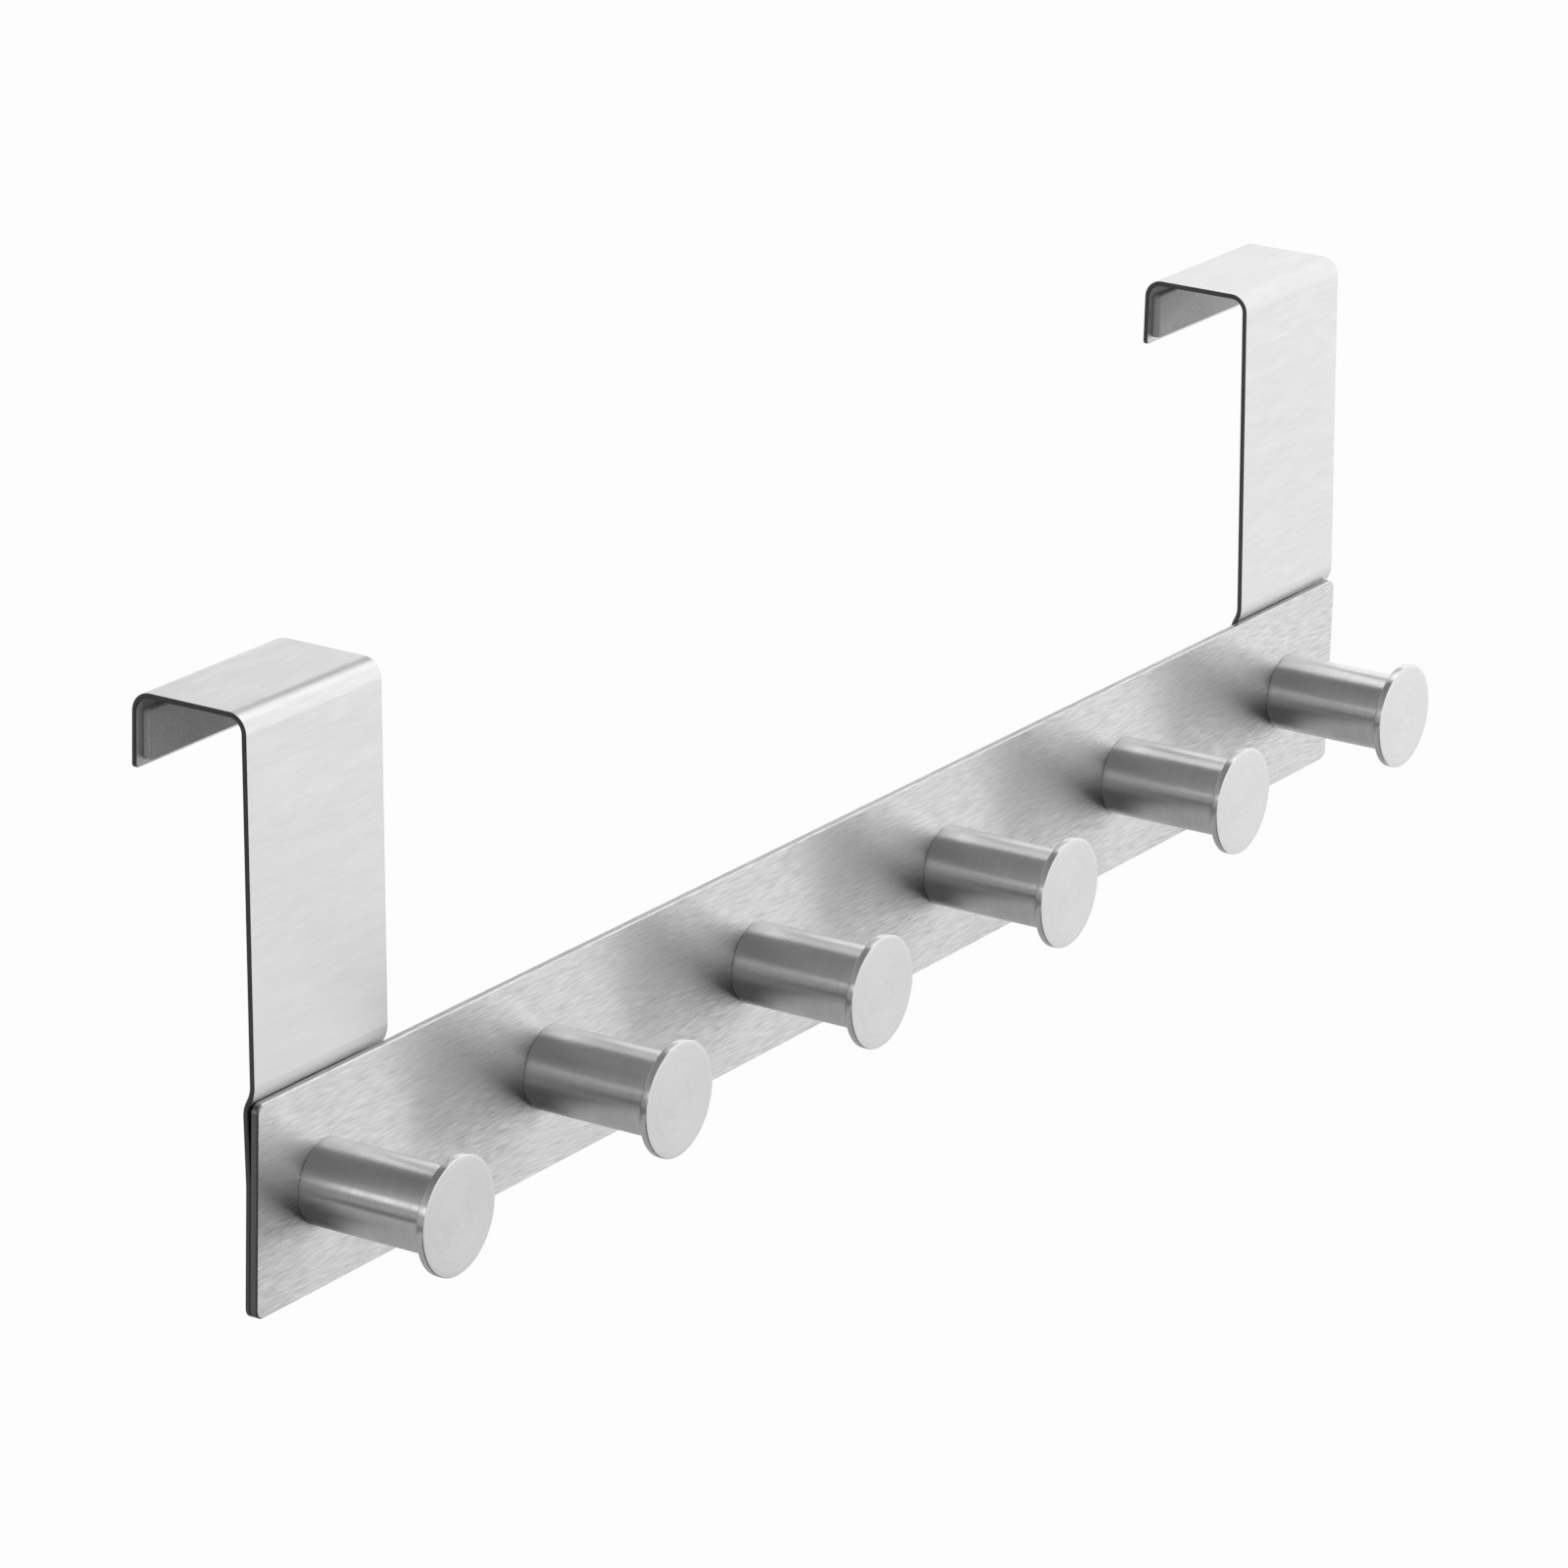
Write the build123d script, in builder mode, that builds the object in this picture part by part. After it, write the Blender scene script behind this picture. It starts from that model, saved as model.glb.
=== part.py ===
from build123d import *
from math import radians, tan
import os

os.makedirs("parts", exist_ok=True)

# An over door hook rack in brushed stainless steel: a flat rail with six turned pegs,
# carried by two bent strips that hook over the top of a door.
# Sizes are in millimetres and angles in degrees.
# X runs along the rail, Y points from the room to the door and Z is up.
# The origin is the centre of the rail's back face.

# Rail
rail_length = 390.0
rail_height = 40.0
rail_thickness = 1.5
rail_corner_radius = 2.0
rail_front_chamfer = 0.25
rail_back_chamfer = 0.15

# Hangers, each one bent strip with its outer edge flush with the rail's end
strip_width = 40.0
strip_thickness = 1.0
strip_chamfer = 0.15
strip_foot_radius = 2.0
strip_tip_radius = 0.8
hanger_rise = 70.0
hanger_reach = 25.5
short_leg_length = 14.0
hook_bend_radius = 2.7

# The leg between the rail and the web leans towards the door
leg_lean = 1.9
leg_setback = 0.7

# Above the screwed seat the strip lifts off the rail, then steps forward over its top edge
lift_angle = 3.0
lift_bend_radius = 8.0
jog_angle = 27.0
jog_bend_radius = 5.0
jog_clearance = 0.1
seat_margin = 0.4

# Pegs, turned from bar, with a thin wider head
peg_count = 6
peg_length = 28.5
peg_radius = 8.0
peg_head_radius = 11.0
peg_head_thickness = 1.5
peg_face_chamfer = 0.3
peg_bore_depth = 12.0

# Countersunk screws that hold the pegs from behind
screw_length = 10.0
screw_radius = 2.0
screw_head_radius = 3.75
screw_head_land = 0.3
screw_sink_angle = 90.0
recess_width = 0.9
recess_span = 4.4
recess_depth = 1.2
thread_clearance = 0.05
shank_clearance = 0.25
sink_clearance = 0.05

# Foam pads inside the short legs
pad_thickness = 1.5
pad_side_margin = 2.0
pad_bottom_margin = 1.0
pad_corner_radius = 1.2
pad_chamfer = 0.3

# Sizes that follow from those above
rail_top = rail_height / 2
rail_bottom = -rail_height / 2
web_top = rail_top + hanger_rise
hanger_x = (rail_length - strip_width) / 2
peg_pitch = 2 * hanger_x / (peg_count - 1)
peg_xs = [-hanger_x + peg_pitch * i for i in range(peg_count)]
end_peg_xs = (peg_xs[0], peg_xs[-1])
sink_slope = tan(radians(screw_sink_angle / 2))
sink_radius = screw_head_radius + screw_head_land * sink_slope + sink_clearance
seat_top = sink_radius + seat_margin
hook_outer_radius = hook_bend_radius + strip_thickness


def facing_door(x, y, z=0.0):
    """The plane at a point, with its normal towards the door and its X along the rail's back."""
    return Plane(origin=(x, y, z), x_dir=(-1, 0, 0), z_dir=(0, 1, 0))


def facing_room(x, y, z=0.0):
    """The plane at a point, with its normal towards the room and its X along the rail."""
    return Plane(origin=(x, y, z), x_dir=(1, 0, 0), z_dir=(0, -1, 0))


def turning_plane(x, y, outward):
    """The plane of a turned piece's half section: X is the radius, Y runs outward along its axis."""
    return Plane(origin=(x, y, 0), x_dir=(1, 0, 0), z_dir=(0, 0, outward))


def save(part, name):
    """Names a finished part and writes it as the node's file."""
    part.label = name
    export_step(part, f"parts/{name}.step")


# The flat plate that carries everything, with a countersunk hole behind each peg
with BuildPart() as rail:
    with BuildSketch(facing_room(0, 0)):
        RectangleRounded(rail_length, rail_height, rail_corner_radius)
    extrude(amount=rail_thickness)
    chamfer(rail.faces().sort_by(Axis.Y)[0].edges(), rail_front_chamfer)
    chamfer(rail.faces().sort_by(Axis.Y)[-1].edges(), rail_back_chamfer)
    with Locations(*[facing_door(x, 0) for x in peg_xs[1:-1]]):
        CounterSinkHole(screw_radius + shank_clearance, sink_radius, counter_sink_angle=screw_sink_angle)
    # Behind the end pegs the countersink starts in the hanger and runs on into the rail
    with Locations(*[facing_door(x, 0) for x in end_peg_xs]):
        CounterSinkHole(
            screw_radius + shank_clearance,
            sink_radius - strip_thickness * sink_slope,
            counter_sink_angle=screw_sink_angle,
        )
save(rail.part, "rail")


def strip_corners():
    """The corners of the strip's outer side as (y, z), from its foot behind the rail to its tip."""
    lift, jog, lean = tan(radians(lift_angle)), tan(radians(jog_angle)), tan(radians(leg_lean))
    jog_start = (jog_clearance + rail_top * jog + seat_top * lift) / (lift + jog)
    jog_rise = (jog_clearance + rail_thickness - leg_setback) / (lean + jog)
    return [
        (0, rail_bottom),
        (0, seat_top),
        ((jog_start - seat_top) * lift, jog_start),
        (jog_clearance - jog_rise * jog, rail_top + jog_rise),
        (leg_setback - rail_thickness + hanger_rise * lean, web_top),
        (hanger_reach, web_top),
        (hanger_reach, web_top - short_leg_length),
    ]


strip_radii = [
    lift_bend_radius,
    jog_bend_radius,
    jog_bend_radius + strip_thickness,
    hook_outer_radius,
    hook_outer_radius,
]

# The two hangers: a foot clamped behind the rail, a step over the rail's top edge,
# a leaning front leg, a flat web and a short rear leg
for side, name in ((-1, "left_hanger"), (1, "right_hanger")):
    with BuildPart() as hanger:
        with BuildSketch(Plane.YZ.offset(side * hanger_x)):
            with BuildLine():
                FilletPolyline(*strip_corners(), radius=strip_radii)
                offset(amount=strip_thickness, side=Side.RIGHT)
            make_face()
        extrude(amount=strip_width / 2, both=True)
        fillet(hanger.faces().sort_by(Axis.Z)[0].edges().filter_by(Axis.Y), strip_foot_radius)
        tip = hanger.faces().filter_by(Axis.Z).sort_by(Axis.Y)[-1]
        fillet(tip.edges().filter_by(Axis.Y), strip_tip_radius)
        chamfer(hanger.faces().filter_by(Axis.X).edges().filter_by(Axis.Y, reverse=True), strip_chamfer)
        with Locations(facing_door(side * hanger_x, strip_thickness)):
            CounterSinkHole(screw_radius + shank_clearance, sink_radius, counter_sink_angle=screw_sink_angle)
    save(hanger.part, name)

# The foam pads, glued to the flat of each short leg
pad_width = strip_width - 2 * pad_side_margin
pad_height = short_leg_length - hook_outer_radius - pad_bottom_margin
pad_z = web_top - short_leg_length + pad_bottom_margin + pad_height / 2
for side, name in ((-1, "left_pad"), (1, "right_pad")):
    with BuildPart() as pad:
        with BuildSketch(facing_room(side * hanger_x, hanger_reach - strip_thickness, pad_z)):
            RectangleRounded(pad_width, pad_height, pad_corner_radius)
        extrude(amount=pad_thickness)
        chamfer(pad.faces().sort_by(Axis.Y)[0].edges(), pad_chamfer)
    save(pad.part, name)

# The pegs: shaft and head turned in one piece, with a tapped blind bore in the foot
head_back = peg_length - peg_head_thickness
for number, x in enumerate(peg_xs, start=1):
    with BuildPart() as peg:
        with BuildSketch(turning_plane(x, -rail_thickness, -1)) as section:
            with BuildLine():
                Polyline(
                    (0, 0),
                    (peg_radius, 0),
                    (peg_radius, head_back),
                    (peg_head_radius, head_back),
                    (peg_head_radius, peg_length),
                    (0, peg_length),
                    close=True,
                )
            make_face()
            face_rim = section.vertices().group_by(Axis.X)[-1].sort_by(Axis.Y)[-1]
            chamfer(face_rim, peg_face_chamfer)
        revolve(axis=Axis((x, 0, 0), (0, -1, 0)))
        with Locations(facing_door(x, -rail_thickness)):
            CounterSinkHole(
                screw_radius + thread_clearance,
                sink_radius - rail_thickness * sink_slope,
                depth=peg_bore_depth,
                counter_sink_angle=screw_sink_angle,
            )
    save(peg.part, f"peg_{number}")

# The countersunk screws, one solid each. The end screws also clamp the hangers,
# so their heads lie in the strip instead of the rail.
shank_start = screw_head_land + (screw_head_radius - screw_radius) / sink_slope
with BuildPart() as peg_screws:
    for x in peg_xs:
        head_y = strip_thickness if x in end_peg_xs else 0
        with BuildSketch(turning_plane(x, head_y, -1)):
            with BuildLine():
                Polyline(
                    (0, 0),
                    (screw_head_radius, 0),
                    (screw_head_radius, screw_head_land),
                    (screw_radius, shank_start),
                    (screw_radius, screw_length),
                    (0, screw_length),
                    close=True,
                )
            make_face()
        revolve(axis=Axis((x, 0, 0), (0, -1, 0)))
        with BuildSketch(facing_room(x, head_y)):
            Rectangle(recess_span, recess_width)
            Rectangle(recess_width, recess_span)
        extrude(amount=recess_depth, mode=Mode.SUBTRACT)
save(peg_screws.part, "peg_screws")
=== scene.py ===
import math

import bmesh
import bpy
from mathutils import Matrix, Vector, noise


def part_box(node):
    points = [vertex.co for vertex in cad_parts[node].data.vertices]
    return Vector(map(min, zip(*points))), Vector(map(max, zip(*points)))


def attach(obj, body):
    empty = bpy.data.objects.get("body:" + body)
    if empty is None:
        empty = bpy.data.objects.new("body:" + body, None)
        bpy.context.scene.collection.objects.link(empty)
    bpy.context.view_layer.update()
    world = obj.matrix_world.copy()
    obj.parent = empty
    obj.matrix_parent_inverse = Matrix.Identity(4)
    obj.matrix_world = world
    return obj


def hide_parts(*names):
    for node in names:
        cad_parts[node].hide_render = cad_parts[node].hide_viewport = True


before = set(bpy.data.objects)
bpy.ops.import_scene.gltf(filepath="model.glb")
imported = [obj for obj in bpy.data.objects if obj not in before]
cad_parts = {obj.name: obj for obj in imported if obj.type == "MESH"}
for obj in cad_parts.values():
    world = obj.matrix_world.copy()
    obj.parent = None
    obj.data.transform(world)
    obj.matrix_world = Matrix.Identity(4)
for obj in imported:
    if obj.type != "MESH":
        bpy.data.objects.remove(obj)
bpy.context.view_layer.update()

# The looks of an over door hook rack in brushed stainless steel, in metres.
# X runs along the rail, Y points towards the door and Z is up.

MM = 0.001

# Camera, fitted to the photograph's perspective
IMAGE_WIDTH = 1600
SENSOR_WIDTH = 36.0
FOCAL_PIXELS = 7698.8
CAMERA_PLACE = (-1.17844, -0.71339, 0.48519)
CAMERA_YAW = 58.293
CAMERA_PITCH = -18.455
CAMERA_ROLL = 1.627

# Studio: the floor lies well below the rack, which hangs in the photograph
FLOOR_Z = -0.55
FLOOR_SIZE = 8.0
FLOOR_COLOUR = 0.8
FLOOR_BACKDROP_SHARE = 0.95
AMBIENT = 0.75

# A tent of matt walls round the rack, and the cards in it, which only the steel's reflections see
TENT_SIDE = 1.5
TENT_LOW = -0.45
TENT_HIGH = 1.1
TENT_STEPS = 8
CARD_GAP = 0.05
CARD_STEP = 0.01

# Steel: the range that most of the noise lies in, and how far roughness follows it
MARK_LOW = 0.3
MARK_HIGH = 0.7
ROUGHNESS_SPREAD = 0.15
# Normals that face along the rail more than this mark the cut edges, which take a darker grey: partly
# rougher cut steel, partly painted shade
CUT_EDGE_FACING = 0.6
# Share of the painted edge shade on the rail's top and bottom edges, kept low as a painted highlight
# where light falls on them
LIT_TOP_EDGE_SHARE = 0.5

# Scratches run a hair off the rail's line, so that the cut ends have a direction too
GRAIN_DIRECTION = (1.0, 0.03, 0.03)

# Pegs. Their number, length and head come from the CAD parts in model.glb.
PEGS = sorted(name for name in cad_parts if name.startswith("peg_") and name != "peg_screws")
PEG_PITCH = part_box("peg_2")[0].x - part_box("peg_1")[0].x
PEG_RADIUS = 8.0 * MM
PEG_HEAD_THICKNESS = 1.5 * MM
PEG_BORE_RADIUS = 2.05 * MM
PEG_BORE_DEPTH = 12.0 * MM
PEG_SINK_RADIUS = 2.6 * MM
PEG_FACE_ROUND = 0.15 * MM
PEG_BACK_ROUND = 0.2 * MM
PEG_FOOT_ROUND = 0.15 * MM
PEG_NECK_ROUND = 0.35 * MM
PEG_STEPS = 144
PEG_ROUND_STEPS = 5
PEG_SHAFT_STEPS = 24
PEG_FACE_STEPS = 12
PEG_SHARP_ANGLE = 30.0
# The length along a ring that a radian of turn counts for
PEG_RING_TURN = 2.0 * MM

# Foam pads
FOAM_CELL = 0.25 * MM
FOAM_CORNER = 1.2 * MM
FOAM_EDGE = 0.4 * MM
FOAM_PORE = 0.7 * MM
FOAM_PORE_DEPTH = 0.05 * MM
FOAM_GLUED_BACK = 0.99
ALONG_AXIS = 0.9
FOAM_RELIEF = 0.06 * MM
FOAM_DARK = (0.20, 0.20, 0.20)
FOAM_LIGHT = (0.40, 0.40, 0.40)

# Sockets of a Mix node for colours, which share their names with its other sockets
MIX_A = 6
MIX_B = 7
MIX_RESULT = 2


def add(tree, kind, inputs=None, **settings):
    """A node with its settings and inputs. An input is a value or another node's output."""
    node = tree.nodes.new(kind)
    for key, value in settings.items():
        setattr(node, key, value)
    for key, value in (inputs or {}).items():
        if isinstance(value, bpy.types.NodeSocket):
            tree.links.new(value, node.inputs[key])
        else:
            node.inputs[key].default_value = value
    return node


def calculate(tree, operation, first, second=0.0, third=0.0):
    """The output of a Math node."""
    return add(tree, "ShaderNodeMath", {0: first, 1: second, 2: third}, operation=operation).outputs[0]


def in_range(tree, value, low, high, to_low=0.0, to_high=1.0):
    """The value carried from one range to another, and held at its ends."""
    inputs = {"Value": value, "From Min": low, "From Max": high, "To Min": to_low, "To Max": to_high}
    return add(tree, "ShaderNodeMapRange", inputs).outputs["Result"]


def streaks(tree, place, size_mm, detail=2.0):
    """Noise whose features have the given length along X, Y and Z."""
    scale = [1 / (side * MM) for side in size_mm]
    stretched = add(tree, "ShaderNodeMapping", {"Vector": place, "Scale": scale}).outputs[0]
    inputs = {"Vector": stretched, "Scale": 1.0, "Detail": detail}
    return add(tree, "ShaderNodeTexNoise", inputs).outputs["Fac"]


def blend(tree, fine, broad, broad_share):
    """A mix of a fine and a broad noise."""
    return add(tree, "ShaderNodeMix", {"Factor": broad_share, "A": fine, "B": broad}).outputs[0]


def blend_colours(tree, share, first, second):
    """A mix of two colours, each one a colour or another node's output."""
    inputs = {"Factor": share}
    for socket, colour in ((MIX_A, first), (MIX_B, second)):
        inputs[socket] = colour if isinstance(colour, bpy.types.NodeSocket) else (*colour, 1)
    return add(tree, "ShaderNodeMix", inputs, data_type="RGBA").outputs[MIX_RESULT]


def relief(tree, height, depth):
    """The normals of a surface with the given relief."""
    return add(tree, "ShaderNodeBump", {"Height": height, "Distance": depth, "Strength": 1.0}).outputs[0]


def new_material(name):
    """A named material, its node tree and its shader."""
    material = bpy.data.materials.new(name)
    material.use_nodes = True
    tree = material.node_tree
    return material, tree, tree.nodes["Principled BSDF"]


def bare_material(name):
    """A named material and its empty node tree."""
    material, tree, _ = new_material(name)
    tree.nodes.clear()
    return material, tree


def add_object(name, mesh):
    """A mesh as an object of the scene."""
    item = bpy.data.objects.new(name, mesh)
    bpy.context.scene.collection.objects.link(item)
    return item


def strip_cut_and_shaded_edges(tree, normal):
    """1 on a strip's cut edges, which face along the rail, and on their chamfers, and 0 on its faces.
    The darker grey it brings is partly rougher cut steel and partly painted shade, also in the groove
    where the strip's chamfers meet the rail.
    """
    x = add(tree, "ShaderNodeSeparateXYZ", {"Vector": normal}).outputs["X"]
    return calculate(tree, "GREATER_THAN", calculate(tree, "ABSOLUTE", x), CUT_EDGE_FACING)


def rail_cut_and_shaded_edges(tree, normal):
    """1 on the rail's cut ends, less on its brighter top and bottom edges, and 0 on its faces. The
    darker grey it brings is partly rougher cut steel and partly painted shade; the top and bottom edges
    get less of it because light falls on them, a painted highlight.
    """
    parts = add(tree, "ShaderNodeSeparateXYZ", {"Vector": normal}).outputs
    end = calculate(tree, "GREATER_THAN", calculate(tree, "ABSOLUTE", parts["X"]), CUT_EDGE_FACING)
    edge = calculate(tree, "LESS_THAN", calculate(tree, "ABSOLUTE", parts["Y"]), CUT_EDGE_FACING)
    return calculate(tree, "MAXIMUM", end, calculate(tree, "MULTIPLY", edge, LIT_TOP_EDGE_SHARE))


def steel(name, grey, roughness, anisotropy, grain, marks, mark_depth, contrast,
          edges=None, shaded_edge_grey=0.0):
    """Brushed or turned steel. grain(tree, place) gives the direction of the scratches and
    marks(tree, place) how light each one is, with their depth in millimetres. edges(tree, normal)
    is 1 on a sheet's cut edges, whose darker edge grey is partly rougher cut steel and partly
    painted shade."""
    material, tree, shader = new_material(name)
    place = add(tree, "ShaderNodeTexCoord").outputs["Object"]
    normal = add(tree, "ShaderNodeNewGeometry").outputs["Normal"]
    inputs = {0: normal, 1: grain(tree, place)}
    across = add(tree, "ShaderNodeVectorMath", inputs, operation="CROSS_PRODUCT").outputs[0]
    shade = marks(tree, place)
    dark = [grey * (1 - contrast)] * 3
    light = [grey * (1 + contrast)] * 3
    colour = blend_colours(tree, in_range(tree, shade, MARK_LOW, MARK_HIGH), dark, light)
    # Cut edges take the darker edge grey: partly rougher cut steel, partly painted shade
    if edges:
        colour = blend_colours(tree, edges(tree, normal), colour, [shaded_edge_grey] * 3)
    rougher = roughness * (1 + ROUGHNESS_SPREAD)
    smoother = roughness * (1 - ROUGHNESS_SPREAD)
    rough = in_range(tree, shade, MARK_LOW, MARK_HIGH, rougher, smoother)
    tree.links.new(colour, shader.inputs["Base Color"])
    tree.links.new(rough, shader.inputs["Roughness"])
    tree.links.new(relief(tree, shade, mark_depth * MM), shader.inputs["Normal"])
    tree.links.new(across, shader.inputs["Tangent"])
    shader.inputs["Metallic"].default_value = 1.0
    shader.inputs["Anisotropic"].default_value = anisotropy
    return material


def lengthwise(tree, place):
    """Scratches along the rail."""
    return GRAIN_DIRECTION


def rail_marks(tree, place):
    """Scratches a few millimetres long, over broader and fainter ones."""
    fine = streaks(tree, place, (4.5, 0.36, 0.36), 3.0)
    broad = streaks(tree, place, (18.0, 2.0, 2.0))
    return blend(tree, fine, broad, broad_share=0.15)


def hanger_marks(tree, place):
    """The strips' softer brushing."""
    fine = streaks(tree, place, (6.0, 0.5, 0.5))
    broad = streaks(tree, place, (20.0, 3.0, 3.0))
    return blend(tree, fine, broad, broad_share=0.4)


def from_peg_axis(tree, place):
    """The vector from the nearest peg's axis to a point."""
    parts = add(tree, "ShaderNodeSeparateXYZ", {"Vector": place}).outputs
    shifted = calculate(tree, "ADD", parts["X"], PEG_PITCH / 2)
    x = calculate(tree, "WRAP", shifted, PEG_PITCH / 2, -PEG_PITCH / 2)
    return x, parts["Y"], parts["Z"]


def turned(tree, place):
    """Scratches round the nearest peg's axis."""
    x, y, z = from_peg_axis(tree, place)
    back = calculate(tree, "MULTIPLY", x, -1.0)
    return add(tree, "ShaderNodeCombineXYZ", {"X": z, "Z": back}).outputs[0]


def turned_marks(tree, place):
    """Fine rings on the shaft and the head, each a little uneven round its turn."""
    x, y, z = from_peg_axis(tree, place)
    squares = [calculate(tree, "MULTIPLY", side, side) for side in (x, z)]
    radius = calculate(tree, "SQRT", calculate(tree, "ADD", *squares))
    turn = calculate(tree, "MULTIPLY", calculate(tree, "ARCTAN2", z, x), PEG_RING_TURN)
    rings = add(tree, "ShaderNodeCombineXYZ", {"X": radius, "Y": y, "Z": turn}).outputs[0]
    fine = streaks(tree, rings, (0.3, 0.3, 1.5), 3.0)
    broad = streaks(tree, rings, (1.2, 1.6, 6.0))
    return blend(tree, fine, broad, broad_share=0.35)


# The rail's cut ends and edges take a darker grey: partly rougher cut steel, partly painted shade
rail_steel = steel("rail_steel", grey=0.61, roughness=0.31, anisotropy=1.0,
                   grain=lengthwise, marks=rail_marks, mark_depth=0.060, contrast=0.18,
                   edges=rail_cut_and_shaded_edges, shaded_edge_grey=0.20)
# The strips' cut edges and chamfers take a darker grey: partly rougher cut steel, partly painted shade
hanger_steel = steel("hanger_steel", grey=0.645, roughness=0.31, anisotropy=0.85,
                     grain=lengthwise, marks=hanger_marks, mark_depth=0.0008, contrast=0.045,
                     edges=strip_cut_and_shaded_edges, shaded_edge_grey=0.13)
peg_steel = steel("peg_steel", grey=0.70, roughness=0.32, anisotropy=0.75,
                  grain=turned, marks=turned_marks, mark_depth=0.014, contrast=0.06)
head_steel = steel("head_steel", grey=0.68, roughness=0.30, anisotropy=0.20,
                   grain=turned, marks=turned_marks, mark_depth=0.010, contrast=0.06)
screw_steel = steel("screw_steel", grey=0.50, roughness=0.35, anisotropy=0.3,
                    grain=turned, marks=turned_marks, mark_depth=0.008, contrast=0.06)

node_materials = {
    "rail": rail_steel,
    "left_hanger": hanger_steel,
    "right_hanger": hanger_steel,
    "peg_screws": screw_steel,
}
for name, material in node_materials.items():
    for material_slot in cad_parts[name].material_slots:
        material_slot.material = material


def arc(centre, radius, start, end):
    """Points round a centre of a half section, at even angles in degrees."""
    steps = [i / PEG_ROUND_STEPS for i in range(PEG_ROUND_STEPS + 1)]
    angles = [math.radians(start + (end - start) * step) for step in steps]
    return [(centre[0] + radius * math.cos(a), centre[1] + radius * math.sin(a)) for a in angles]


def evenly(start, end, count):
    """Points between two others, without them."""
    return [tuple(s + (e - s) * i / count for s, e in zip(start, end)) for i in range(1, count)]


def peg_section(head_radius, length):
    """The half section as (radius, distance from the foot): first from the bore's end round to the
    rim of the face, then on to the face's centre."""
    back = length - PEG_HEAD_THICKNESS
    bore = [
        (0, PEG_BORE_DEPTH),
        (PEG_BORE_RADIUS, PEG_BORE_DEPTH),
        (PEG_BORE_RADIUS, PEG_SINK_RADIUS - PEG_BORE_RADIUS),
        (PEG_SINK_RADIUS, 0),
    ]
    foot = arc((PEG_RADIUS - PEG_FOOT_ROUND, PEG_FOOT_ROUND), PEG_FOOT_ROUND, -90, 0)
    neck = arc((PEG_RADIUS + PEG_NECK_ROUND, back - PEG_NECK_ROUND), PEG_NECK_ROUND, 180, 90)
    back_rim = arc((head_radius - PEG_BACK_ROUND, back + PEG_BACK_ROUND), PEG_BACK_ROUND, -90, 0)
    face_rim = arc((head_radius - PEG_FACE_ROUND, length - PEG_FACE_ROUND), PEG_FACE_ROUND, 0, 90)
    shaft = evenly(foot[-1], neck[0], PEG_SHAFT_STEPS)
    face = evenly(face_rim[-1], (0, length), PEG_FACE_STEPS)
    return bore + foot + shaft + neck + back_rim + face_rim, face + [(0, length)]


def turned_peg(node):
    """A peg in the place of its CAD node, with softly broken edges and a small root under its head."""
    low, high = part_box(node)
    centre_x, foot_y = (low.x + high.x) / 2, high.y
    side, face = peg_section((high.x - low.x) / 2, high.y - low.y)
    bm = bmesh.new()
    rings = []
    for radius, along in side + face:
        turns = [2 * math.pi * i / PEG_STEPS for i in range(PEG_STEPS if radius > 0 else 1)]
        around = [(radius * math.cos(a), radius * math.sin(a)) for a in turns]
        rings.append([bm.verts.new((centre_x + x, foot_y - along, z)) for x, z in around])
    for number, (first, second) in enumerate(zip(rings, rings[1:])):
        for i in range(PEG_STEPS):
            corners = [first[i % len(first)], first[(i + 1) % len(first)],
                       second[(i + 1) % len(second)], second[i % len(second)]]
            patch = bm.faces.new(list(dict.fromkeys(corners)))
            patch.material_index = 1 if number >= len(side) - 1 else 0
    bmesh.ops.recalc_face_normals(bm, faces=bm.faces)
    mesh = bpy.data.meshes.new(node + "_turned")
    bm.to_mesh(mesh)
    bm.free()
    mesh.shade_smooth()
    mesh.set_sharp_from_angle(angle=math.radians(PEG_SHARP_ANGLE))
    mesh.materials.append(peg_steel)
    mesh.materials.append(head_steel)
    piece = add_object(node + "_turned", mesh)
    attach(piece, "root")
    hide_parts(node)


for peg in PEGS:
    turned_peg(peg)


def foam_material():
    """Grey closed-cell foam: matt, finely pitted and a little uneven in tone."""
    material, tree, shader = new_material("grey_foam")
    place = add(tree, "ShaderNodeTexCoord").outputs["Object"]
    pits = streaks(tree, place, (0.45, 0.45, 0.45), 3.0)
    patches = streaks(tree, place, (3.0, 3.0, 3.0))
    share = blend(tree, pits, patches, broad_share=0.3)
    tree.links.new(blend_colours(tree, share, FOAM_DARK, FOAM_LIGHT), shader.inputs["Base Color"])
    tree.links.new(in_range(tree, pits, 0.2, 0.8, 0.95, 0.75), shader.inputs["Roughness"])
    tree.links.new(relief(tree, pits, FOAM_RELIEF), shader.inputs["Normal"])
    return material


def rounded(offset, half, radius):
    """A point of a box moved onto the box's rounded form, in as many dimensions as it is given."""
    core = Vector([max(-h + radius, min(h - radius, o)) for o, h in zip(offset, half)])
    out = Vector(offset) - core
    return core + out.normalized() * min(out.length, radius) if out.length else core


def direction(edge):
    """The unit vector along an edge."""
    return (edge.verts[0].co - edge.verts[1].co).normalized()


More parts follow.
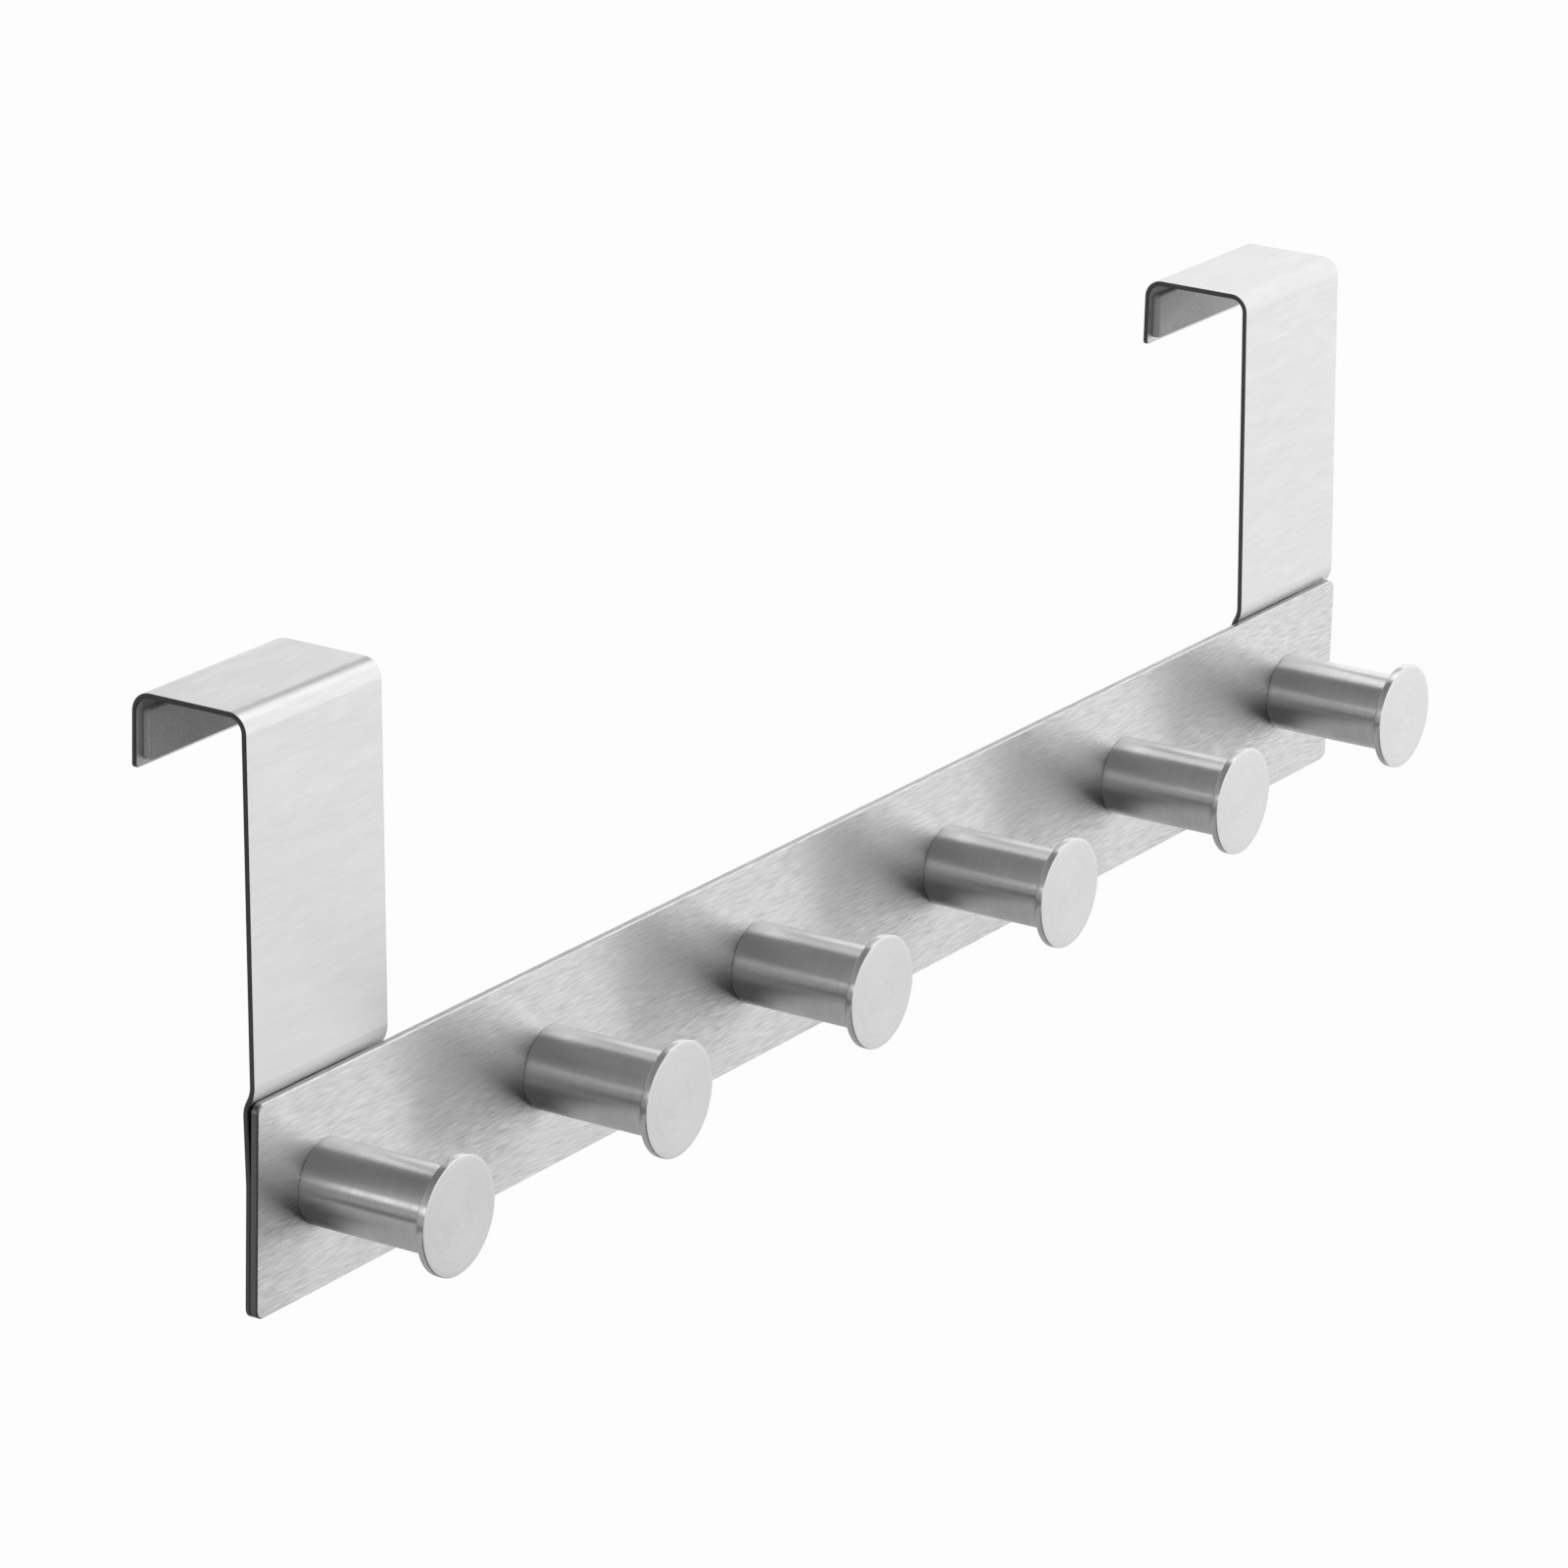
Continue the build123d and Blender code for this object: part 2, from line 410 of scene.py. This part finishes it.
def foam_pad(node):
    """A cut foam slab in the place of the CAD pad, glued at its back, with soft front edges."""
    low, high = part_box(node)
    centre, half = (low + high) / 2, (high - low) / 2
    bm = bmesh.new()
    bmesh.ops.create_cube(bm, size=2.0)
    for axis in range(3):
        along = [edge for edge in bm.edges if abs(direction(edge)[axis]) > ALONG_AXIS]
        cuts = round(2 * half[axis] / FOAM_CELL) - 1
        bmesh.ops.subdivide_edges(bm, edges=along, cuts=cuts, use_grid_fill=True)
    for vert in bm.verts:
        x, y, z = [c * h for c, h in zip(vert.co, half)]
        x, z = rounded((x, z), (half.x, half.z), FOAM_CORNER)
        if y < 0:
            x, y, z = rounded((x, y, z), half, FOAM_EDGE)
        vert.co = Vector((x, y, z))
    bm.normal_update()
    for vert in bm.verts:
        if vert.co.y < half.y * FOAM_GLUED_BACK:
            depth = noise.noise((vert.co + centre) / FOAM_PORE)
            vert.co -= vert.normal * FOAM_PORE_DEPTH * (1 + depth) / 2
        vert.co += centre
    mesh = bpy.data.meshes.new(node + "_foam")
    bm.to_mesh(mesh)
    bm.free()
    mesh.shade_smooth()
    mesh.materials.append(foam)
    piece = add_object(node + "_foam", mesh)
    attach(piece, "root")
    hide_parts(node)


foam = foam_material()
for pad in ("left_pad", "right_pad"):
    foam_pad(pad)


def seen_directly(tree):
    """1 for what the camera sees, directly or in a reflection or through glass."""
    path = add(tree, "ShaderNodeLightPath").outputs
    either = calculate(tree, "MAXIMUM", path["Is Camera Ray"], path["Is Glossy Ray"])
    return calculate(tree, "MAXIMUM", either, path["Is Transmission Ray"])


def white_floor():
    """A pale floor that shows nearly as white as the backdrop, and keeps the rack's shadow."""
    half = FLOOR_SIZE / 2
    corners = [(x, y, FLOOR_Z) for x, y in ((-half, -half), (half, -half), (half, half), (-half, half))]
    mesh = bpy.data.meshes.new("floor")
    mesh.from_pydata(corners, [], [(0, 1, 2, 3)])
    material, tree = bare_material("pale_floor")
    matt = add(tree, "ShaderNodeBsdfDiffuse", {"Color": (FLOOR_COLOUR, FLOOR_COLOUR, FLOOR_COLOUR, 1)})
    white = add(tree, "ShaderNodeEmission", {"Strength": 1.0})
    share = calculate(tree, "MULTIPLY", seen_directly(tree), FLOOR_BACKDROP_SHARE)
    mixed = add(tree, "ShaderNodeMixShader", {0: share, 1: matt.outputs[0], 2: white.outputs[0]})
    add(tree, "ShaderNodeOutputMaterial", {"Surface": mixed.outputs[0]})
    mesh.materials.append(material)
    add_object("floor", mesh)


def white_world():
    """A white backdrop all round, with softer ambient light on the object."""
    world = bpy.data.worlds.new("studio")
    bpy.context.scene.world = world
    world.use_nodes = True
    tree = world.node_tree
    tree.nodes.clear()
    ambient = add(tree, "ShaderNodeBackground", {"Color": (1, 1, 1, 1), "Strength": AMBIENT})
    white = add(tree, "ShaderNodeBackground", {"Color": (1, 1, 1, 1), "Strength": 1.0})
    share = seen_directly(tree)
    mixed = add(tree, "ShaderNodeMixShader", {0: share, 1: ambient.outputs[0], 2: white.outputs[0]})
    add(tree, "ShaderNodeOutputWorld", {"Surface": mixed.outputs[0]})


def reflected_only(item):
    """Shows a piece of the studio to reflections alone, lit by the brightness that its corners hold."""
    material, tree = bare_material(item.name)
    brightness = add(tree, "ShaderNodeAttribute", attribute_name="brightness").outputs["Fac"]
    glow = add(tree, "ShaderNodeEmission", {"Strength": brightness})
    add(tree, "ShaderNodeOutputMaterial", {"Surface": glow.outputs[0]})
    material.cycles.emission_sampling = "NONE"
    item.data.materials.append(material)
    item.visible_camera = False
    item.visible_diffuse = False
    item.visible_transmission = False
    item.visible_shadow = False


def graded(name, start, end, near, far=None):
    """A rectangle of the studio between two opposite corners. Its first edge runs along X, or along Y
    if it has no width along X. near has the brightness where that edge starts and where it ends,
    and far that of the opposite edge."""
    far = far or near
    start, diagonal = Vector(start), Vector(end) - Vector(start)
    edges = [Vector([diagonal[i] if i == axis else 0 for i in range(3)]) for axis in range(3)]
    across, up = [edge for edge in edges if edge.length]
    steps = [i / TENT_STEPS for i in range(TENT_STEPS + 1)]
    places = [start + across * u + up * v for v in steps for u in steps]
    levels = [(near[0] * (1 - u) + near[1] * u) * (1 - v) + (far[0] * (1 - u) + far[1] * u) * v
              for v in steps for u in steps]
    row = TENT_STEPS + 1
    faces = [(j * row + i, j * row + i + 1, (j + 1) * row + i + 1, (j + 1) * row + i)
             for j in range(TENT_STEPS) for i in range(TENT_STEPS)]
    mesh = bpy.data.meshes.new(name)
    mesh.from_pydata(places, [], faces)
    attribute = mesh.attributes.new("brightness", "FLOAT", "POINT")
    attribute.data.foreach_set("value", levels)
    item = add_object(name, mesh)
    reflected_only(item)


def tent():
    """Matt walls, brighter to the right and darkest at the left in front, where the photograph's
    reflections are dark too."""
    side, low, high = TENT_SIDE, TENT_LOW, TENT_HIGH
    graded("ceiling_wall", (-side, -side, high), (side, side, high), near=(0.2, 0.1), far=(0.35, 0.2))
    graded("floor_wall", (-side, -side, low), (side, side, low), near=(0.0, 0.0), far=(0.1, 0.2))
    graded("front_wall", (-side, -side, low), (side, -side, high), near=(0.2, 1.6), far=(0.45, 0.7))
    graded("back_wall", (-side, side, low), (side, side, high), near=(0.6, 0.85), far=(0.85, 1.1))
    graded("left_wall", (-side, -side, low), (-side, side, high), near=(0.1, 0.05), far=(0.45, 0.4))
    graded("right_wall", (side, -side, low), (side, side, high), near=(1.45, 0.7), far=(1.35, 1.4))


def cards():
    """Softboxes and reflectors in front of the walls: at the left, where they streak the pegs,
    overhead, low in front and on the floor."""
    wall = TENT_SIDE - CARD_GAP
    lower_wall = wall - CARD_STEP
    top = TENT_HIGH - CARD_GAP
    low = TENT_LOW + CARD_STEP
    graded("left_card", (-wall, -1.0, 0.28), (-wall, 1.2, 0.58), near=(1.5, 1.6))
    graded("left_low_card", (-lower_wall, -0.3, -0.2), (-lower_wall, 1.1, 0.1), near=(0.5, 0.5))
    graded("overhead_card", (0.25, -0.9, top), (0.95, 0.45, top), near=(2.0, 1.8))
    graded("overhead_right_card", (0.95, -0.9, top), (wall, 0.05, top), near=(1.6, 1.5))
    graded("low_card", (0.2, -wall, -0.4), (1.4, -wall, 0.15), near=(2.0, 2.0))
    graded("floor_right_card", (0.35, -1.4, low), (wall, 0.09, low), near=(0.78, 1.0))
    graded("floor_left_card", (-wall, -0.9, low), (-0.95, 0.7, low), near=(0.9, 0.6))
    graded("floor_corner_card", (-wall, -wall, low), (-0.55, -0.95, low), near=(0.5, 0.3))
    graded("floor_back_card", (-0.9, 0.1, low), (1.4, 1.3, low), near=(0.5, 0.5))


def area_light(name, place, size, power):
    """A soft square lamp that points at the rack. It lights what is matt, and the steel's
    reflections don't see it."""
    light = bpy.data.lights.new(name, "AREA")
    light.size = size
    light.energy = power
    lamp = bpy.data.objects.new(name, light)
    lamp.location = place
    lamp.rotation_mode = "QUATERNION"
    lamp.rotation_quaternion = (-Vector(place)).to_track_quat("-Z", "Y")
    lamp.visible_glossy = False
    bpy.context.scene.collection.objects.link(lamp)


def photo_camera():
    """The camera at the photograph's place and angle."""
    yaw, pitch, roll = (math.radians(a) for a in (CAMERA_YAW, CAMERA_PITCH, CAMERA_ROLL))
    ahead = Vector((math.sin(yaw) * math.cos(pitch), math.cos(yaw) * math.cos(pitch), math.sin(pitch)))
    right = Vector((math.cos(yaw), -math.sin(yaw), 0))
    up = right.cross(ahead)
    tilted_right = math.cos(roll) * right + math.sin(roll) * up
    tilted_up = math.cos(roll) * up - math.sin(roll) * right
    data = bpy.data.cameras.new("camera")
    data.sensor_width = SENSOR_WIDTH
    data.lens = SENSOR_WIDTH * FOCAL_PIXELS / IMAGE_WIDTH
    camera = bpy.data.objects.new("camera", data)
    axes = Matrix((tilted_right, tilted_up, -ahead)).transposed()
    camera.matrix_world = Matrix.Translation(CAMERA_PLACE) @ axes.to_4x4()
    bpy.context.scene.collection.objects.link(camera)
    bpy.context.scene.camera = camera


white_floor()
white_world()
tent()
cards()
area_light("right_lamp", place=(0.65, -0.15, 0.08), size=0.25, power=5.0)
photo_camera()
bpy.context.scene.view_settings.view_transform = "Standard"
